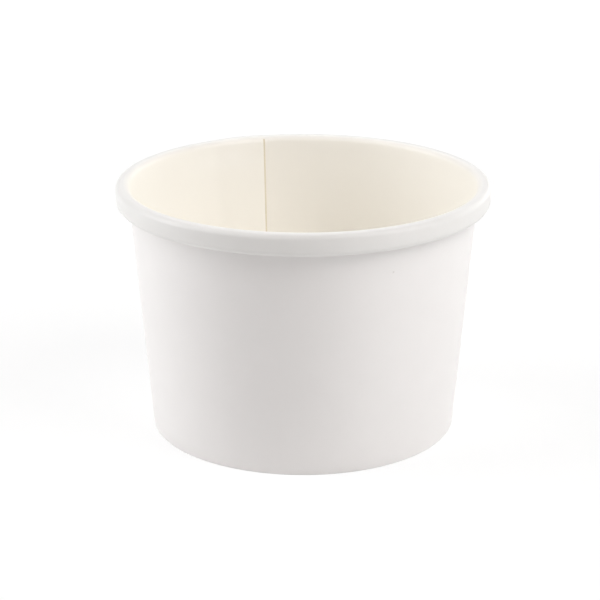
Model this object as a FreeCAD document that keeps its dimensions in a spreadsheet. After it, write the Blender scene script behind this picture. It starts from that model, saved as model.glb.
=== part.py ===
import FreeCAD, Part
import math
import os
import Sketcher

# Short paper sundae cup, in millimetres. +Z is up, and the origin is the centre of the base.
# Two pieces of coated board: a conical side wall, rolled out at the rim and folded in at the base,
# and a bottom disc whose turned-down skirt is sealed between the wall and that fold.
# Each piece is drawn as the line that one face of its board follows, and the board's thickness is
# laid to one side of that line.

# Driving sizes, as the spreadsheet holds them.
SIZES = {
    # outside of the cup
    "rim_diameter": 90.0,
    "base_diameter": 74.2,
    "cup_height": 61.0,
    # rolled rim: its depth, and its reach from the wall's outer face to its own
    "rim_depth": 5.3,
    "rim_width": 3.27,
    # the sheet's free edge, tucked up inside the roll beside the wall
    "tuck_length": 1.0,
    "roll_gap": 0.06,
    # board thicknesses
    "wall_board": 0.40,
    "disc_board": 0.40,
    # the disc's upper face above the table, and the radius where it turns down into the skirt
    "disc_level": 7.6,
    "disc_bend": 0.9,
    # how far the wall's lower edge, folded in and up behind the skirt, stays below the disc
    "fold_clearance": 1.2,
    # heat seal between the two pieces
    "seal_gap": 0.02,
    # side seam, in degrees round the axis from +X: the inner ply's edge, the overlap,
    # and the stretch beyond it in which the wall falls back to one ply
    "seam_angle": 104.1,
    "lap_angle": 12.0,
    "ramp_angle": 8.0,
    # step that the pressed outer ply's edge leaves on the outside
    "outer_step": 0.20,
    # height over which the inner ply is pressed flush below the roll, and the ply left where a ramp ends
    "lap_fade": 2.0,
    "ramp_feather": 0.02,
}

document = FreeCAD.newDocument("sundae_cup")
sheet = document.addObject("Spreadsheet::Sheet", "Sizes")
for row, (alias, value) in enumerate(SIZES.items(), start=1):
    sheet.set(f"A{row}", alias)
    sheet.set(f"B{row}", str(value))
    sheet.setAlias(f"B{row}", alias)
document.recompute()


def size(alias):
    return float(getattr(sheet, alias))


# Where the sketches are first drawn, close to where their constraints then hold them.
RIM_RADIUS = size("rim_diameter") / 2
BASE_RADIUS = size("base_diameter") / 2
RIM_TOP = size("cup_height")
ROLL_FLOOR = RIM_TOP - size("rim_depth")
TAPER = math.atan2(RIM_RADIUS - size("rim_width") - BASE_RADIUS, ROLL_FLOOR)
OUTWARD = FreeCAD.Vector(math.cos(TAPER), -math.sin(TAPER), 0)
UPWARD = FreeCAD.Vector(math.sin(TAPER), math.cos(TAPER), 0)
START, END, CENTRE = 1, 2, 3
ORIGIN = (-1, 1)


def wall_point(height, inward):
    """A point at this height, this far inward from the wall's outer face."""
    radius = BASE_RADIUS + height * math.tan(TAPER) - inward / math.cos(TAPER)
    return FreeCAD.Vector(radius, height, 0)


def roll_arc(level, side, inset):
    """The centre and radius of the arc that touches the rim's outer face, this level and the wall
    at this inset. It hangs below the level if the side is 1, and stands on it if the side is -1."""
    reach = (RIM_RADIUS - BASE_RADIUS) * OUTWARD.x + level * OUTWARD.y + inset
    radius = reach / (1 + OUTWARD.x + side * OUTWARD.y)
    return FreeCAD.Vector(RIM_RADIUS - radius, level - side * radius, 0), radius


def new_sketch(name, angle="0"):
    """A sketch in the plane that holds the axis and lies at this angle round it."""
    sketch = document.addObject("Sketcher::SketchObject", name)
    sketch.Placement = FreeCAD.Placement(FreeCAD.Vector(), FreeCAD.Rotation(0, 0, 90))
    sketch.setExpression("Placement.Rotation.Yaw", angle)
    return sketch


def add_line(sketch, start, end, construction=False):
    return sketch.addGeometry(Part.LineSegment(start, end), construction)


def add_arc(sketch, centre, radius, start_angle, end_angle):
    circle = Part.Circle(centre, FreeCAD.Vector(0, 0, 1), radius)
    return sketch.addGeometry(Part.ArcOfCircle(circle, start_angle, end_angle))


def hold(sketch, kind, *elements):
    sketch.addConstraint(Sketcher.Constraint(kind, *elements))


def measure(sketch, name, expression, kind, *elements):
    """A dimension that takes its value from the spreadsheet."""
    value = float(sketch.evalExpression(expression))
    index = sketch.addConstraint(Sketcher.Constraint(kind, *elements, value))
    sketch.renameConstraint(index, name)
    sketch.setExpression(f"Constraints.{name}", expression)


def add_wall_face(sketch):
    """The wall's outer face, from the table to the level of the roll's underside."""
    face = add_line(sketch, wall_point(0, 0), wall_point(ROLL_FLOOR, 0), construction=True)
    measure(sketch, "face_foot", "Sizes.base_diameter / 2", "DistanceX", *ORIGIN, face, START)
    hold(sketch, "PointOnObject", face, START, -1)
    measure(sketch, "face_head", "Sizes.rim_diameter / 2 - Sizes.rim_width",
            "DistanceX", *ORIGIN, face, END)
    measure(sketch, "face_height", "Sizes.cup_height - Sizes.rim_depth",
            "DistanceY", *ORIGIN, face, END)
    return face


def draw_wall_line(sketch):
    """The inner face of the wall's board, from the fold up the wall and round the rolled rim."""
    face = add_wall_face(sketch)
    board = size("wall_board")
    slot = board + size("disc_board") + 2 * size("seal_gap")
    fold_top = size("disc_level") - size("disc_board") - size("fold_clearance")
    fold = add_line(sketch, wall_point(fold_top, slot), wall_point(board, slot))
    floor = add_line(sketch, wall_point(board, slot), wall_point(board, board))
    top_centre, top_radius = roll_arc(RIM_TOP, 1, board)
    low_centre, low_radius = roll_arc(ROLL_FLOOR, -1, -size("roll_gap"))
    wall = add_line(sketch, wall_point(board, board), top_centre - OUTWARD * top_radius)
    top = add_arc(sketch, top_centre, top_radius, 0, math.pi - TAPER)
    rim_head = FreeCAD.Vector(RIM_RADIUS, top_centre.y, 0)
    rim_foot = FreeCAD.Vector(RIM_RADIUS, low_centre.y, 0)
    rim = add_line(sketch, rim_head, rim_foot)
    low = add_arc(sketch, low_centre, low_radius, math.pi - TAPER, 2 * math.pi)
    tuck_foot = low_centre - OUTWARD * low_radius
    tuck = add_line(sketch, tuck_foot, tuck_foot + UPWARD * size("tuck_length"))
    crown = add_line(sketch, FreeCAD.Vector(top_centre.x, RIM_TOP, 0),
                     FreeCAD.Vector(RIM_RADIUS, RIM_TOP, 0), construction=True)
    sole = add_line(sketch, FreeCAD.Vector(low_centre.x, ROLL_FLOOR, 0),
                    FreeCAD.Vector(RIM_RADIUS, ROLL_FLOOR, 0), construction=True)

    hold(sketch, "Coincident", fold, END, floor, START)
    hold(sketch, "Coincident", floor, END, wall, START)
    hold(sketch, "Horizontal", floor)
    hold(sketch, "Vertical", rim)
    for parallel in (fold, wall, tuck):
        hold(sketch, "Parallel", parallel, face)
    hold(sketch, "Tangent", wall, END, top, END)
    hold(sketch, "Tangent", top, START, rim, START)
    hold(sketch, "Tangent", rim, END, low, END)
    hold(sketch, "Tangent", low, START, tuck, START)
    for level, arc in ((crown, top), (sole, low)):
        hold(sketch, "Horizontal", level)
        hold(sketch, "Tangent", level, arc)
        hold(sketch, "Vertical", level, START, arc, CENTRE)
        hold(sketch, "Vertical", level, END, rim, START)

    measure(sketch, "floor_level", "Sizes.wall_board", "DistanceY", *ORIGIN, floor, START)
    measure(sketch, "wall_inset", "Sizes.wall_board", "Distance", wall, START, face)
    measure(sketch, "fold_inset", "Sizes.wall_board + Sizes.disc_board + 2 * Sizes.seal_gap",
            "Distance", fold, END, face)
    measure(sketch, "fold_top", "Sizes.disc_level - Sizes.disc_board - Sizes.fold_clearance",
            "DistanceY", *ORIGIN, fold, START)
    measure(sketch, "rim_face", "Sizes.rim_diameter / 2", "DistanceX", *ORIGIN, rim, START)
    measure(sketch, "crown_level", "Sizes.cup_height", "DistanceY", *ORIGIN, crown, START)
    measure(sketch, "sole_level", "Sizes.cup_height - Sizes.rim_depth",
            "DistanceY", *ORIGIN, sole, START)
    measure(sketch, "tuck_gap", "Sizes.roll_gap", "Distance", tuck, START, face)
    measure(sketch, "tuck_reach", "Sizes.tuck_length", "Distance", tuck, START, tuck, END)


def draw_disc_line(sketch):
    """The upper and outer face of the disc's board, from the axis out and down the skirt."""
    face = add_wall_face(sketch)
    inset = size("wall_board") + size("seal_gap")
    level = size("disc_level")
    bend_radius = size("disc_bend")
    corner = wall_point(level - bend_radius, inset)
    centre = corner - FreeCAD.Vector(bend_radius, 0, 0)
    plate = add_line(sketch, FreeCAD.Vector(0, level, 0), FreeCAD.Vector(centre.x, level, 0))
    bend = add_arc(sketch, centre, bend_radius, -TAPER, math.pi / 2)
    skirt = add_line(sketch, corner, wall_point(inset, inset))

    hold(sketch, "Horizontal", plate)
    hold(sketch, "PointOnObject", plate, START, -2)
    hold(sketch, "Tangent", plate, END, bend, END)
    hold(sketch, "Tangent", bend, START, skirt, START)
    hold(sketch, "Parallel", skirt, face)
    measure(sketch, "plate_level", "Sizes.disc_level", "DistanceY", *ORIGIN, plate, START)
    measure(sketch, "bend_radius", "Sizes.disc_bend", "Radius", bend)
    measure(sketch, "skirt_inset", "Sizes.wall_board + Sizes.seal_gap", "Distance", skirt, END, face)
    measure(sketch, "skirt_foot", "Sizes.wall_board + Sizes.seal_gap",
            "DistanceY", *ORIGIN, skirt, END)


def draw_ply(sketch, foot, head, outer_inset, inner_inset, fade):
    """A strip beside the wall's outer face, between two insets and two levels, sloped at its head.
    Each of these is an expression, and an inset outside the face is negative."""
    face = add_wall_face(sketch)
    low, high, outer, inner, slope = (float(sketch.evalExpression(text))
                                      for text in (foot, head, outer_inset, inner_inset, fade))
    corners = [wall_point(low, outer), wall_point(high, outer),
               wall_point(high - slope, inner), wall_point(low, inner)]
    sides = [add_line(sketch, corners[i], corners[(i + 1) % 4]) for i in range(4)]
    for i in range(4):
        hold(sketch, "Coincident", sides[i], END, sides[(i + 1) % 4], START)
    hold(sketch, "Parallel", sides[0], face)
    hold(sketch, "Parallel", sides[2], face)
    hold(sketch, "Horizontal", sides[3])
    measure(sketch, "foot", foot, "DistanceY", *ORIGIN, sides[0], START)
    measure(sketch, "head", head, "DistanceY", *ORIGIN, sides[0], END)
    measure(sketch, "inner_head", f"({head}) - ({fade})", "DistanceY", *ORIGIN, sides[2], START)
    measure(sketch, "outer_inset", f"abs({outer_inset})", "Distance", sides[0], START, face)
    measure(sketch, "inner_inset", f"abs({inner_inset})", "Distance", sides[2], START, face)


def lay_board(name, line, thickness):
    """The section of a board that lies to one side of a drawn line."""
    section = document.addObject("Part::Offset2D", name)
    section.Source = line
    section.Mode = "Skin"
    section.Fill = True
    section.setExpression("Value", thickness)
    return section


def turn(name, section, angle="360"):
    """A section turned round the cup's axis."""
    solid = document.addObject("Part::Revolution", name)
    solid.Source = section
    solid.Base = FreeCAD.Vector(0, 0, 0)
    solid.Axis = FreeCAD.Vector(0, 0, 1)
    solid.Solid = True
    solid.setExpression("Angle", angle)
    return solid


def span(name, first, last):
    """A solid with straight sides between two sections."""
    solid = document.addObject("Part::Loft", name)
    solid.Sections = [first, last]
    solid.Solid = True
    solid.Ruled = True
    return solid


# The sheet of the side wall, as one ply all the way round.
wall_line = new_sketch("WallLine")
draw_wall_line(wall_line)
wall_section = lay_board("WallSection", wall_line, "-Sizes.wall_board")
ply = turn("Ply", wall_section)

# The lap's inner ply stands on the disc and ends below the rim. It is sunk into the outer ply,
# because the two are sealed into one thickness, and beyond the overlap it falls back to the wall.
LAP_FOOT = "Sizes.disc_level + Sizes.seal_gap"
LAP_HEAD = "Sizes.cup_height - Sizes.rim_width / 2"
SUNK_FACE = "Sizes.wall_board / 4"
LAP_FACE = "Sizes.wall_board * 2"
FADED_FACE = "Sizes.wall_board - Sizes.ramp_feather"
LAP_END = "Sizes.seam_angle + Sizes.lap_angle"
RAMP_END = "Sizes.seam_angle + Sizes.lap_angle + Sizes.ramp_angle"

lap_section = new_sketch("LapSection", "Sizes.seam_angle")
draw_ply(lap_section, LAP_FOOT, LAP_HEAD, SUNK_FACE, LAP_FACE, "Sizes.lap_fade")
lap = turn("Lap", lap_section, "Sizes.lap_angle")
ramp_start = new_sketch("RampStart", LAP_END)
draw_ply(ramp_start, LAP_FOOT, LAP_HEAD, SUNK_FACE, LAP_FACE, "Sizes.lap_fade")
ramp_finish = new_sketch("RampFinish", RAMP_END)
draw_ply(ramp_finish, LAP_FOOT, LAP_HEAD, SUNK_FACE, FADED_FACE, "Sizes.lap_fade")
ramp = span("Ramp", ramp_start, ramp_finish)

# Outside, the outer ply's edge stands a step proud of the wall, which rises again beyond it.
RELIEF_FOOT = "-Sizes.wall_board"
RELIEF_HEAD = "Sizes.cup_height - Sizes.rim_depth"
CLEAR_OF_WALL = "-Sizes.wall_board"
relief_start = new_sketch("ReliefStart", LAP_END)
draw_ply(relief_start, RELIEF_FOOT, RELIEF_HEAD, CLEAR_OF_WALL, "Sizes.outer_step", "0")
relief_finish = new_sketch("ReliefFinish", RAMP_END)
draw_ply(relief_finish, RELIEF_FOOT, RELIEF_HEAD, CLEAR_OF_WALL, "-Sizes.ramp_feather", "0")
relief = span("Relief", relief_start, relief_finish)

lapped_wall = document.addObject("Part::MultiFuse", "LappedWall")
lapped_wall.Shapes = [ply, lap, ramp]
side_wall = document.addObject("Part::Cut", "SideWall")
side_wall.Base = lapped_wall
side_wall.Tool = relief
side_wall.Label = "side_wall"

# The bottom disc and its skirt.
disc_line = new_sketch("DiscLine")
draw_disc_line(disc_line)
disc_section = lay_board("DiscSection", disc_line, "-Sizes.disc_board")
bottom_disc = turn("BottomDisc", disc_section)
bottom_disc.Label = "bottom_disc"

document.recompute()
for item in document.Objects:
    if "Invalid" in item.State or "Error" in item.State:
        raise RuntimeError(f"{item.Name} was not made: {item.State}")

os.makedirs("parts", exist_ok=True)
for piece in (side_wall, bottom_disc):
    if piece.Shape.isNull() or not piece.Shape.isValid():
        raise RuntimeError(f"{piece.Label} has no sound shape")
    piece.Shape.exportStep(f"parts/{piece.Label}.step")
    print(piece.Label, len(piece.Shape.Solids), round(piece.Shape.Volume, 2), piece.Shape.BoundBox)
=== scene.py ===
import math

import bpy
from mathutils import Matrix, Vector


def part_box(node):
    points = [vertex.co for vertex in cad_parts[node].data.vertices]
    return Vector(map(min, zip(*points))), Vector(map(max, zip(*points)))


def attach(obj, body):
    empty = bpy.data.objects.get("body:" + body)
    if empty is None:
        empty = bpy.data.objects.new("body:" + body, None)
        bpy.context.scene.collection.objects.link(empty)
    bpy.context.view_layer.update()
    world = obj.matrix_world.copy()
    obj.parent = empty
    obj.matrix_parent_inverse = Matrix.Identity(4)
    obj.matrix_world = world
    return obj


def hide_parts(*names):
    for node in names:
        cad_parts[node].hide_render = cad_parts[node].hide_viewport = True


# A short paper sundae cup: a side wall, wound from one sheet of board, and a bottom disc sealed into
# its foot. Lengths are in metres and angles in degrees. +Z is up, and the cup stands on the origin.
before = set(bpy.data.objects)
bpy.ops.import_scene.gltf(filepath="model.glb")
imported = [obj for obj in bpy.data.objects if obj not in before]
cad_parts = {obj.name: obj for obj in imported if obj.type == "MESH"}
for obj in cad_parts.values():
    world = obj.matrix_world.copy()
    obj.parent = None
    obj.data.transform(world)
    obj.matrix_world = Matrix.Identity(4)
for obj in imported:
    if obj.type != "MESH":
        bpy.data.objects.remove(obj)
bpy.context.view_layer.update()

MM = 0.001

# The outside of the cup, from the frame.
RIM_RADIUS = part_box("side_wall")[1].x
CUP_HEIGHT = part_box("side_wall")[1].z
DISC_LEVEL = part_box("bottom_disc")[1].z

BOARD = 0.40 * MM
FOOT_RADIUS = 37.1 * MM

# The rim: the board rolled outward over its crown and corner, down, and back in below. The sheet's
# free edge is tucked up inside it, ROLL_GAP away from the wall.
RIM_DEPTH = 5.3 * MM
RIM_WIDTH = 3.27 * MM
CROWN_BEND = 1.25 * MM
CORNER_BEND = 1.10 * MM
ROLL_GAP = 0.06 * MM
TUCK_LENGTH = 1.0 * MM

# The foot: the wall folded in and up behind the disc's skirt.
FOLD_TOP = 6.0 * MM
FOLD_BEND = 0.6 * BOARD
SEAL_GAP = 0.02 * MM
DISC_BEND = 0.9 * MM
DISC_SAG = 0.25 * MM

# The side seam. Its inner edge lies at SEAM_ANGLE round the axis from +X. The lap starts there, and so
# does the stretch that is pressed flatter than round. The ramp, where the wall comes back to one ply,
# follows the lap. A cut edge is crushed to a slope EDGE_ANGLE wide.
SEAM_ANGLE = 104.1
LAP_ANGLE = 12.0
RAMP_ANGLE = 8.0
PRESS_ANGLE = 40.0
EDGE_ANGLE = 0.75

# How far the outer ply's edge is sunk, how far the pressed stretch goes in, and how far the roll
# bulges over the lap.
OUTER_STEP = 0.20 * MM
PRESSED_IN = 0.58 * MM
ROLL_BULGE = 0.10 * MM

# Brings the peak of the pressed stretch's curve, which is a third of the way along it, to 1.
PRESS_PEAK = 27 / 4

# The heights at which the inner ply starts and is whole, and at which the pressing starts, is whole,
# begins to ease and ends. Over the rim, the inner ply fades within EDGE_FADE degrees of the roll.
LAP_FOOT = DISC_LEVEL + 0.3 * MM
LAP_FULL = DISC_LEVEL + 0.9 * MM
PRESS_FOOT = 9.0 * MM
PRESS_FULL = 16.0 * MM
PRESS_EASE = 53.0 * MM
PRESS_HEAD = 59.0 * MM
EDGE_FADE = 70

# The knurling that presses the fold against the skirt. Half of each KNURL_PITCH degrees is a ridge.
KNURL_DEPTH = 0.13 * MM
KNURL_FOOT = 1.2 * MM
KNURL_HEAD = 5.2 * MM
KNURL_PITCH = 4

# How finely the boards are divided: steps round the axis, rings, and degrees of a bend in one step.
LAP_STEPS = 12
RAMP_STEPS = 8
ROUND_STEPS = 340
DISC_STEPS = 240
DISC_RINGS = 14
ARC_STEP = 11
FOLD_STEP = 16

# Edges that turn less than this are shaded smooth.
SMOOTH_ANGLE = 35

# The finishes' places on a board: the side that looks out, the other side and the cut edges.
OUTER, INNER, CUT = range(3)

# The wall's slope, and the directions out of it and up along it.
DOWN_SLOPE = math.atan2(RIM_RADIUS - RIM_WIDTH - FOOT_RADIUS, CUP_HEIGHT - RIM_DEPTH)
TAPER = math.degrees(DOWN_SLOPE)
OUTWARD = Vector((math.cos(DOWN_SLOPE), 0, -math.sin(DOWN_SLOPE)))
UPWARD = Vector((math.sin(DOWN_SLOPE), 0, math.cos(DOWN_SLOPE)))


def wall_point(height, inward):
    """A point of the section at this height, this far in from the wall's outer face."""
    radius = FOOT_RADIUS + height * math.tan(DOWN_SLOPE) - inward / math.cos(DOWN_SLOPE)
    return Vector((radius, 0, height))


def inset_of(point):
    """How far in from the wall's outer face a point lies."""
    radius = math.hypot(point.x, point.y)
    return (FOOT_RADIUS - radius) * math.cos(DOWN_SLOPE) + point.z * math.sin(DOWN_SLOPE)


def past_seam(point):
    """Degrees anticlockwise from the seam's inner edge to a point, from -180 to 180."""
    angle = math.degrees(math.atan2(point.y, point.x)) - SEAM_ANGLE
    return (angle + 180) % 360 - 180


def fade(value, start, end):
    """Falls smoothly from 1 to 0 as a value goes from a start to an end."""
    share = min(max((value - start) / (end - start), 0), 1)
    return 1 - share * share * (3 - 2 * share)


def roll_arc(level, side, inset):
    """The centre and radius of the arc that touches the rim's outer face, this level and the wall
    at this inset. It hangs below the level if the side is 1, and stands on it if the side is -1."""
    reach = (RIM_RADIUS - FOOT_RADIUS) * OUTWARD.x + level * OUTWARD.z + inset
    radius = reach / (1 + OUTWARD.x + side * OUTWARD.z)
    return Vector((RIM_RADIUS - radius, 0, level - side * radius)), radius


ROLL_TOP, ROLL_RADIUS = roll_arc(CUP_HEIGHT, 1, BOARD)
ROLL_FOOT = roll_arc(CUP_HEIGHT - RIM_DEPTH, -1, -ROLL_GAP)[0]

# The seam's cut edge shows from the disc up to the roll, as far from the axis as LINE_REACH.
LINE_REACH = ROLL_TOP.x - 0.92 * ROLL_RADIUS


class BoardLine:
    """The middle of a board's section, drawn in the XZ plane from its start, as one chain of edges."""

    def __init__(self, name, start):
        deselect_all()
        bpy.ops.mesh.primitive_circle_add(vertices=3, radius=BOARD, location=(0, 0, 0))
        self.piece = bpy.context.object
        self.piece.name = name
        self.piece.data.name = name
        bpy.ops.object.mode_set(mode="EDIT")
        bpy.ops.mesh.merge(type="CENTER")
        bpy.ops.transform.translate(value=start)
        self.end = Vector(start)

    def straight(self, point, steps=1):
        step = (point - self.end) / steps
        for _ in range(steps):
            bpy.ops.mesh.extrude_vertices_move(TRANSFORM_OT_translate={"value": step})
        self.end = Vector(point)

    def bend(self, centre, degrees, step_degrees):
        """Carries the line round a centre, anticlockwise as seen from the front."""
        angle = math.radians(degrees)
        steps = math.ceil(abs(degrees) / step_degrees)
        bpy.ops.mesh.spin(steps=steps, angle=angle, center=centre, axis=(0, 1, 0))
        arm = self.end - centre
        self.end = centre + Vector((arm.x * math.cos(angle) - arm.z * math.sin(angle), 0,
                                    arm.x * math.sin(angle) + arm.z * math.cos(angle)))

    def wind(self, stretches):
        """Sweeps the line round the cup's axis, by pairs of steps and degrees, and closes the sheet."""
        bpy.ops.mesh.select_all(action="SELECT")
        bpy.ops.transform.rotate(value=-math.radians(SEAM_ANGLE - EDGE_ANGLE / 2), orient_axis="Z",
                                 center_override=(0, 0, 0))
        for steps, degrees in stretches:
            bpy.ops.mesh.spin(steps=steps, angle=-math.radians(degrees), center=(0, 0, 0),
                              axis=(0, 0, 1))
        bpy.ops.mesh.select_all(action="SELECT")
        bpy.ops.mesh.remove_doubles(threshold=0.001 * MM)
        bpy.ops.mesh.normals_make_consistent(inside=False)
        bpy.ops.object.mode_set(mode="OBJECT")
        return self.piece


def deselect_all():
    bpy.ops.object.select_all(action="DESELECT")


def turn_face_out(piece, looks_out):
    """Turns a sheet's faces over, unless the widest of them looks out already."""
    widest = max(piece.data.polygons, key=lambda face: face.area)
    if looks_out(widest) > 0:
        return
    bpy.ops.object.mode_set(mode="EDIT")
    bpy.ops.mesh.select_all(action="SELECT")
    bpy.ops.mesh.flip_normals()
    bpy.ops.object.mode_set(mode="OBJECT")


def give_thickness(piece, finishes):
    """Lays half of the board on each side of its middle. The finishes are for the side that looks
    out, the other side and the cut edges."""
    for finish in finishes:
        piece.data.materials.append(finish)
    layer = piece.modifiers.new("board", "SOLIDIFY")
    layer.thickness = BOARD
    layer.offset = 0
    layer.use_even_offset = True
    layer.use_quality_normals = True
    layer.material_offset = INNER
    layer.material_offset_rim = CUT
    bpy.ops.object.modifier_apply(modifier=layer.name)


def raise_faces(piece, name, height_at):
    """Moves each point of a piece along its normal, by the height that height_at gives for it."""
    heights = [height_at(corner.co) for corner in piece.data.vertices]
    for side in (1, -1):
        reach = max(max(side * height for height in heights), 0)
        if reach == 0:
            continue
        group = piece.vertex_groups.new(name=name)
        for index, height in enumerate(heights):
            if side * height > 0:
                group.add([index], side * height / reach, "REPLACE")
        press = piece.modifiers.new(name, "DISPLACE")
        press.vertex_group = group.name
        press.mid_level = 0
        press.strength = side * reach
        bpy.ops.object.modifier_apply(modifier=press.name)
        piece.vertex_groups.clear()


def seam_height(point):
    """How far the lapped and pressed seam stands off the plain wall, at a point on either face."""
    past = past_seam(point)
    if not 0 < past < PRESS_ANGLE:
        return 0
    ramp = fade(past, LAP_ANGLE, LAP_ANGLE + RAMP_ANGLE)
    inner_ply = ramp * (1 - fade(point.z, LAP_FOOT, LAP_FULL))
    outer_ply = ramp if past > LAP_ANGLE else 0
    along = past / PRESS_ANGLE
    pressed = PRESSED_IN * PRESS_PEAK * along * (1 - along) ** 2
    pressed *= 1 - fade(point.z, PRESS_FOOT, PRESS_FULL)
    pressed *= fade(point.z, PRESS_EASE, PRESS_HEAD)

    radius = math.hypot(point.x, point.y)
    inset = inset_of(point)
    near = BOARD / 4
    below_centre = point.z < ROLL_TOP.z
    from_centre = math.hypot(radius - ROLL_TOP.x, point.z - ROLL_TOP.z)
    if below_centre and abs(inset - BOARD) < near:
        return inner_ply * BOARD + pressed
    if not below_centre and from_centre > ROLL_RADIUS - near:
        round_roll = math.degrees(math.atan2(point.z - ROLL_TOP.z, ROLL_TOP.x - radius))
        return ramp * (ROLL_BULGE + (BOARD - ROLL_BULGE) * fade(round_roll, 0, EDGE_FADE))
    if below_centre and abs(radius - RIM_RADIUS) < near:
        return ramp * ROLL_BULGE * (1 - fade(point.z, ROLL_FOOT.z, ROLL_FOOT.z + BOARD))
    if abs(inset) < near or point.z < near or abs(inset - 3 * BOARD) < near:
        below_roll = fade(point.z, CUP_HEIGHT - RIM_DEPTH, CUP_HEIGHT - RIM_WIDTH)
        return -outer_ply * OUTER_STEP * below_roll - pressed
    return 0


def knurl_height(point):
    """The ridges that a knurling wheel leaves on the fold's inner face."""
    on_fold = abs(inset_of(point) - 3 * BOARD) <= BOARD / 3 and KNURL_FOOT < point.z < KNURL_HEAD
    on_ridge = round(past_seam(point)) % KNURL_PITCH >= KNURL_PITCH / 2
    return KNURL_DEPTH if on_fold and on_ridge else 0


def show_cut_edges(wall):
    """Gives the cut edges' finish to the slopes to which the two ends of the sheet are crushed."""
    for face in wall.data.polygons:
        past = past_seam(face.center)
        on_inner_edge = abs(past) < EDGE_ANGLE / 4 and face.center.xy.length < LINE_REACH
        on_outer_edge = abs(past - LAP_ANGLE) < EDGE_ANGLE / 4
        if face.material_index == INNER and on_inner_edge and face.center.z > DISC_LEVEL:
            face.material_index = CUT
        if face.material_index == OUTER and on_outer_edge:
            face.material_index = CUT


def make_side_wall(outside, inside, cut_edge):
    middle = BOARD / 2
    fold_inset = 2 * BOARD + 2 * SEAL_GAP + middle
    bend_height = middle + FOLD_BEND
    fold_heel = wall_point(bend_height, fold_inset - FOLD_BEND)
    wall_heel = wall_point(bend_height, middle + FOLD_BEND)
    crown = wall_point(CUP_HEIGHT - middle - CROWN_BEND, middle - CROWN_BEND)
    corner = Vector((RIM_RADIUS - middle - CORNER_BEND, 0, CUP_HEIGHT - middle - CORNER_BEND))

    line = BoardLine("side_wall_board", wall_point(FOLD_TOP, fold_inset))
    line.straight(wall_point(KNURL_HEAD, fold_inset))
    line.straight(wall_point(KNURL_FOOT, fold_inset), 3)
    line.straight(fold_heel - OUTWARD * FOLD_BEND)
    line.bend(fold_heel, 90 + TAPER, FOLD_STEP)
    line.straight(Vector((wall_heel.x, 0, middle)))
    line.bend(wall_heel, 90 - TAPER, FOLD_STEP)
    line.straight(wall_point(LAP_FOOT, middle), 4)
    line.straight(wall_point(LAP_FULL, middle))
    line.straight(wall_point(PRESS_FULL, middle), 5)
    line.straight(wall_point(PRESS_EASE, middle), 12)
    line.straight(crown - OUTWARD * CROWN_BEND, 6)
    line.bend(crown, TAPER - 90, ARC_STEP)
    line.straight(corner + Vector((0, 0, CORNER_BEND)), 2)
    line.bend(corner, -90, ARC_STEP)
    line.straight(Vector((RIM_RADIUS - middle, 0, ROLL_FOOT.z)), 3)
    line.bend(ROLL_FOOT, -180 - TAPER, ARC_STEP)
    line.straight(line.end + UPWARD * TUCK_LENGTH, 2)
    wall = line.wind([(1, EDGE_ANGLE), (LAP_STEPS, LAP_ANGLE - EDGE_ANGLE), (1, EDGE_ANGLE),
                      (RAMP_STEPS, RAMP_ANGLE - EDGE_ANGLE / 2),
                      (ROUND_STEPS, 360 - LAP_ANGLE - RAMP_ANGLE - EDGE_ANGLE / 2)])

    turn_face_out(wall, lambda face: face.normal.xy.dot(face.center.xy))
    give_thickness(wall, [outside, inside, cut_edge])
    raise_faces(wall, "seam", seam_height)
    raise_faces(wall, "knurling", knurl_height)
    show_cut_edges(wall)
    bpy.ops.object.shade_smooth_by_angle(angle=math.radians(SMOOTH_ANGLE))
    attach(wall, "root")
    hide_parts("side_wall")


def make_bottom_disc(upper, under, cut_edge):
    middle = BOARD / 2
    skirt_inset = BOARD + SEAL_GAP
    shoulder = wall_point(DISC_LEVEL - DISC_BEND, skirt_inset + DISC_BEND)
    sag_radius = (shoulder.x ** 2 + DISC_SAG ** 2) / (2 * DISC_SAG)
    sag_angle = math.degrees(math.asin(shoulder.x / sag_radius))
    centre_level = DISC_LEVEL - middle - DISC_SAG

    line = BoardLine("bottom_disc_board", Vector((0, 0, centre_level)))
    line.bend(Vector((0, 0, centre_level + sag_radius)), sag_angle, sag_angle / DISC_RINGS)
    line.bend(shoulder, -90 - TAPER, ARC_STEP)
    line.straight(wall_point(skirt_inset, skirt_inset + middle), 3)
    disc = line.wind([(DISC_STEPS, 360)])

    turn_face_out(disc, lambda face: face.normal.z)
    give_thickness(disc, [upper, under, cut_edge])
    bpy.ops.object.shade_smooth_by_angle(angle=math.radians(SMOOTH_ANGLE))
    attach(disc, "root")
    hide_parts("bottom_disc")


class Value:
    """A number or colour that a node gives. Arithmetic on it adds Math nodes."""

    def __init__(self, graph, socket):
        self.graph = graph
        self.socket = socket

    def math(self, operation, *values):
        return self.graph.node("ShaderNodeMath", {"operation": operation}, dict(enumerate(values)))

    def __add__(self, other):
        return self.math("ADD", self, other)

    def __sub__(self, other):
        return self.math("SUBTRACT", self, other)

    def __rsub__(self, other):
        return self.math("SUBTRACT", other, self)

    def __mul__(self, other):
        return self.math("MULTIPLY", self, other)

    def __truediv__(self, other):
        return self.math("DIVIDE", self, other)

    def greatest(self, other):
        return self.math("MAXIMUM", self, other)

    def clamped(self):
        return self.graph.node("ShaderNodeClamp", {}, {"Value": self})


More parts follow.
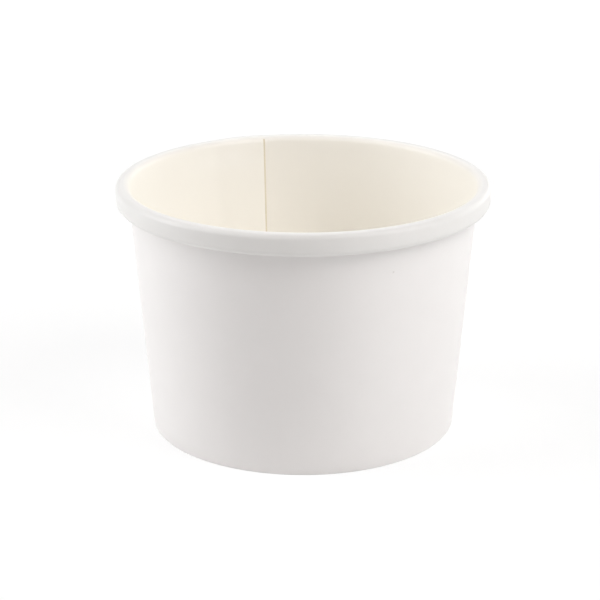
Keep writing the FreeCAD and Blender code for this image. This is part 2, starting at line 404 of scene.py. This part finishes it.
class Graph:
    """The nodes of a material or of the world."""

    def __init__(self, owner):
        owner.use_nodes = True
        self.tree = owner.node_tree
        self.owner = owner

    def feed(self, socket, value):
        if isinstance(value, Value):
            self.tree.links.new(value.socket, socket)
        else:
            socket.default_value = value

    def node(self, kind, settings, values, output=0):
        """Adds a node: first its settings, then the values or links of its sockets."""
        node = self.tree.nodes.new(kind)
        for name, setting in settings.items():
            setattr(node, name, setting)
        for name, value in values.items():
            self.feed(node.inputs[name], value)
        return Value(self, node.outputs[output])

    def blend(self, factor, first, second):
        """A colour between two colours."""
        kind = {"data_type": "RGBA"}
        return self.node("ShaderNodeMix", kind, {0: factor, 6: first, 7: second}, output=2)

    def place(self):
        return self.node("ShaderNodeTexCoord", {}, {}, output="Object")

    def radius(self):
        """How far from the cup's axis a point of the piece lies."""
        flat = self.node("ShaderNodeVectorMath", {"operation": "MULTIPLY"},
                         {0: self.place(), 1: (1, 1, 0)})
        return self.node("ShaderNodeVectorMath", {"operation": "LENGTH"}, {0: flat}, output="Value")

    def noise(self, size, detail, roughness):
        """A cloudy pattern of this size on the piece, from 0 to 1."""
        values = {"Vector": self.place(), "Scale": 1 / size, "Detail": detail, "Roughness": roughness}
        return self.node("ShaderNodeTexNoise", {}, values)

    def relief(self, height):
        """A face's direction where it is raised by a height in metres."""
        return self.node("ShaderNodeBump", {}, {"Height": height, "Distance": 1.0})

    def seen(self):
        """1 for the camera, reflections and clear materials, and 0 for the light that things throw."""
        path = self.tree.nodes.new("ShaderNodeLightPath")
        camera = Value(self, path.outputs["Is Camera Ray"])
        glossy = Value(self, path.outputs["Is Glossy Ray"])
        return camera.greatest(glossy).greatest(Value(self, path.outputs["Is Transmission Ray"]))


def paint(red, green, blue):
    """A colour as a screen shows it, from 0 to 255, in the renderer's linear values."""
    levels = [level / 255 for level in (red, green, blue)]
    return [*(level / 12.92 if level <= 0.04045 else ((level + 0.055) / 1.055) ** 2.4
              for level in levels), 1]


# The coated board's colours: on each face a pale one, and the one that its clouds shade it to.
OUTSIDE_PALE = paint(241, 239, 238)
OUTSIDE_SHADED = paint(238, 236, 235)
# The rim's pair is painted shade: the same film as inside the cup, made darker and greyer to stand in
# for the shade on the roll's face.
RIM_PALE_PAINTED_SHADE = paint(233, 232, 230)
RIM_CLOUDED_PAINTED_SHADE = paint(230, 229, 227)
INSIDE_PALE = paint(254, 251, 244)
INSIDE_SHADED = paint(252, 249, 242)

# The width of the change from the rim's painted shade to the inside's colours, which ends at the roll's
# top.
RIM_SHADE_FADE = 1.6 * MM

# The coating, which is glossier inside, and the heights of its grain and of its ripples.
OUTSIDE_ROUGHNESS = 0.60
OUTSIDE_GLOSS = 0.3
OUTSIDE_RIPPLE = 0.006 * MM
INSIDE_ROUGHNESS = 0.42
INSIDE_GLOSS = 0.5
INSIDE_RIPPLE = 0.008 * MM
ROUGHNESS_SPREAD = 0.12
GRAIN_HEIGHT = 0.004 * MM

# Patterns of the board, each by its size, detail and roughness, and the shares that shade it.
CLOUDS = (7.0 * MM, 3.0, 0.5)
FIBRES = (0.35 * MM, 4.0, 0.65)
GRAIN = (0.22 * MM, 2.0, 0.5)
RIPPLES = (2.4 * MM, 1.0, 0.5)
STREAKS = (0.35 * MM, 4.0, 0.7)
RAGS = (0.35 * MM, 2.0, 0.5)
CLOUD_SHARE = 0.9
FIBRE_SHARE = 0.9

# The speck's place round the axis from +X and up the wall, and its size. SPECK_EDGE is where it has
# faded out, in sizes from its middle.
SPECK_ANGLE = -60.4
SPECK_HEIGHT = 49.5 * MM
SPECK_SIZE = 0.28 * MM
SPECK_EDGE = 1.2
SPECK_STRENGTH = 0.35
SPECK_GREY = paint(176, 172, 166)

CUT_DARK = paint(216, 206, 184)
CUT_PALE = paint(234, 226, 208)
CUT_ROUGHNESS = 0.85
CUT_RELIEF = 0.03 * MM


def board_finish(name, pale, shaded, roughness, gloss, ripple_height, inside=None, speck=None):
    """Coated board: a cloudy sheet under a thin film that follows its grain. The pale and shaded
    colours, which on the rim hold painted shade, change to the inside pair where the film lies
    inside the cup."""
    graph = Graph(bpy.data.materials.new(name))
    shader = graph.tree.nodes["Principled BSDF"]
    if inside:
        mask = inside_past_rim_shade(graph)
        pale = graph.blend(mask, pale, inside[0])
        shaded = graph.blend(mask, shaded, inside[1])
    clouds = graph.noise(*CLOUDS)
    fibres = graph.noise(*FIBRES)
    shading = ((clouds - 0.5) * CLOUD_SHARE + (fibres - 0.5) * FIBRE_SHARE + 0.5).clamped()
    surface = graph.blend(shading, pale, shaded)
    if speck:
        surface = graph.blend(speck_mask(graph), surface, speck)
    graph.feed(shader.inputs["Base Color"], surface)
    graph.feed(shader.inputs["Roughness"], (fibres - 0.5) * ROUGHNESS_SPREAD + roughness)
    graph.feed(shader.inputs["Specular IOR Level"], gloss)
    height = graph.noise(*GRAIN) * GRAIN_HEIGHT + graph.noise(*RIPPLES) * ripple_height
    graph.feed(shader.inputs["Normal"], graph.relief(height))
    return graph.owner


def inside_past_rim_shade(graph):
    """1 inside the cup and 0 on the outside of the rolled rim, where the film carries painted shade,
    with a change over the roll's top.
    """
    return ((ROLL_TOP.x - graph.radius()) / RIM_SHADE_FADE).clamped()


def speck_mask(graph):
    """A faint speck of fibre in the sheet, near the rim at the right of the front."""
    angle = math.radians(SPECK_ANGLE)
    radius = wall_point(SPECK_HEIGHT, 0).x
    centre = (radius * math.cos(angle), radius * math.sin(angle), SPECK_HEIGHT)
    away = graph.node("ShaderNodeVectorMath", {"operation": "DISTANCE"},
                      {0: graph.place(), 1: centre}, output="Value")
    ragged = away / SPECK_SIZE + (graph.noise(*RAGS) - 0.5)
    return (SPECK_EDGE - ragged).clamped() * SPECK_STRENGTH


def cut_edge_finish():
    """The raw edge of the board, where its brown inner plies show between the white faces."""
    graph = Graph(bpy.data.materials.new("cut_edge"))
    shader = graph.tree.nodes["Principled BSDF"]
    streaks = graph.noise(*STREAKS)
    graph.feed(shader.inputs["Base Color"], graph.blend(streaks, CUT_DARK, CUT_PALE))
    graph.feed(shader.inputs["Roughness"], CUT_ROUGHNESS)
    graph.feed(shader.inputs["Normal"], graph.relief(streaks * CUT_RELIEF))
    return graph.owner


# The floor glows by FLOOR_GLOW as far as FLOOR_NEAR from the axis, and by 1 from twice as far. What
# SHADOW_SHARE reflects is added to the glow, so a shadow takes no more than that away.
FLOOR_SIZE = 6.0
FLOOR_WHITE = (0.90, 0.90, 0.90, 1)
SHADOW_SHARE = (0.22, 0.22, 0.22, 1)
FLOOR_GLOW = 0.80
FLOOR_NEAR = 0.25

# The room is white where it is seen, and throws this much light.
WHITE = (1.0, 1.0, 1.0, 1)
ROOM_LEVEL = 0.02

# Softboxes by azimuth to the right of the camera's side, elevation, power and tint. The camera's side
# is the darkest, so the front of the cup is a soft grey and its sides are almost white.
SOFTBOX_SIZE = 0.5
SOFTBOX_DISTANCE = 0.8
WARM = (1.0, 0.82, 0.78)
CREAM = (1.0, 0.99, 0.975)
SOFTBOXES = {
    "left_low": (-90, 15, 2.86),
    "left_high": (-90, 45, 2.41),
    "front_high": (0, 45, 0.47, WARM),
    "right_high": (60, 45, 3.48, CREAM),
    "right_low": (65, 15, 1.36),
    "right_back": (135, 15, 1.50),
    "back_high": (180, 45, 1.30),
}

# The camera's place, its lens and sensor in millimetres, how far it looks down, and how far it is
# turned to the left.
CAMERA_PLACE = (0, -0.4708, 0.1938)
CAMERA_LENS = 121.9
CAMERA_SENSOR = 36
CAMERA_TILT = 19.141
CAMERA_TURN = 0.093


def make_floor():
    """A plain white floor. It is seen as white where nothing shades it, and keeps the cup's shadow."""
    deselect_all()
    bpy.ops.mesh.primitive_plane_add(size=FLOOR_SIZE, location=(0, 0, 0))
    floor = bpy.context.object
    floor.name = "floor"
    graph = Graph(bpy.data.materials.new("floor_white"))
    lit = graph.node("ShaderNodeBsdfDiffuse", {}, {"Color": FLOOR_WHITE})
    shaded = graph.node("ShaderNodeBsdfDiffuse", {}, {"Color": SHADOW_SHARE})
    far = (graph.radius() / FLOOR_NEAR - 1).clamped()
    glow = graph.node("ShaderNodeEmission", {}, {"Strength": far * (1 - FLOOR_GLOW) + FLOOR_GLOW})
    white = graph.node("ShaderNodeAddShader", {}, {0: shaded, 1: glow})
    mixed = graph.node("ShaderNodeMixShader", {}, {0: graph.seen(), 1: lit, 2: white})
    graph.feed(graph.tree.nodes["Material Output"].inputs["Surface"], mixed)
    floor.data.materials.append(graph.owner)


def make_world():
    world = bpy.data.worlds.new("studio")
    graph = Graph(world)
    room = graph.node("ShaderNodeBackground", {}, {"Color": WHITE, "Strength": ROOM_LEVEL})
    white = graph.node("ShaderNodeBackground", {}, {"Color": WHITE, "Strength": 1.0})
    mixed = graph.node("ShaderNodeMixShader", {}, {0: graph.seen(), 1: room, 2: white})
    graph.feed(graph.tree.nodes["World Output"].inputs["Surface"], mixed)
    bpy.context.scene.world = world


def add_softbox(name, azimuth, elevation, power, tint=(1, 1, 1)):
    """A soft square light that faces the cup."""
    turn = math.radians(azimuth)
    rise = math.radians(elevation)
    towards = Vector((math.sin(turn) * math.cos(rise), -math.cos(turn) * math.cos(rise),
                      math.sin(rise)))
    facing = towards.to_track_quat("Z", "Y").to_euler()
    place = towards * SOFTBOX_DISTANCE + Vector((0, 0, CUP_HEIGHT / 2))
    bpy.ops.object.light_add(type="AREA", location=place, rotation=facing)
    lamp = bpy.context.object
    lamp.name = name
    lamp.data.size = SOFTBOX_SIZE
    lamp.data.energy = power
    lamp.data.color = tint
    lamp.visible_camera = False


def make_camera():
    bpy.ops.object.camera_add(location=CAMERA_PLACE, rotation=(
        math.radians(90 - CAMERA_TILT), 0, math.radians(CAMERA_TURN)))
    camera = bpy.context.object
    camera.data.lens = CAMERA_LENS
    camera.data.sensor_width = CAMERA_SENSOR
    bpy.context.scene.camera = camera


outside = board_finish("outer_face", OUTSIDE_PALE, OUTSIDE_SHADED, OUTSIDE_ROUGHNESS,
                       OUTSIDE_GLOSS, OUTSIDE_RIPPLE, speck=SPECK_GREY)
# The inner face's colours on the outside of the roll are painted shade.
inside = board_finish("inner_face", RIM_PALE_PAINTED_SHADE, RIM_CLOUDED_PAINTED_SHADE, INSIDE_ROUGHNESS,
                      INSIDE_GLOSS, INSIDE_RIPPLE, inside=(INSIDE_PALE, INSIDE_SHADED))
cut_edge = cut_edge_finish()
make_side_wall(outside, inside, cut_edge)
make_bottom_disc(inside, outside, cut_edge)
make_floor()
make_world()
for name, settings in SOFTBOXES.items():
    add_softbox(name, *settings)
make_camera()
bpy.context.scene.view_settings.view_transform = "Standard"
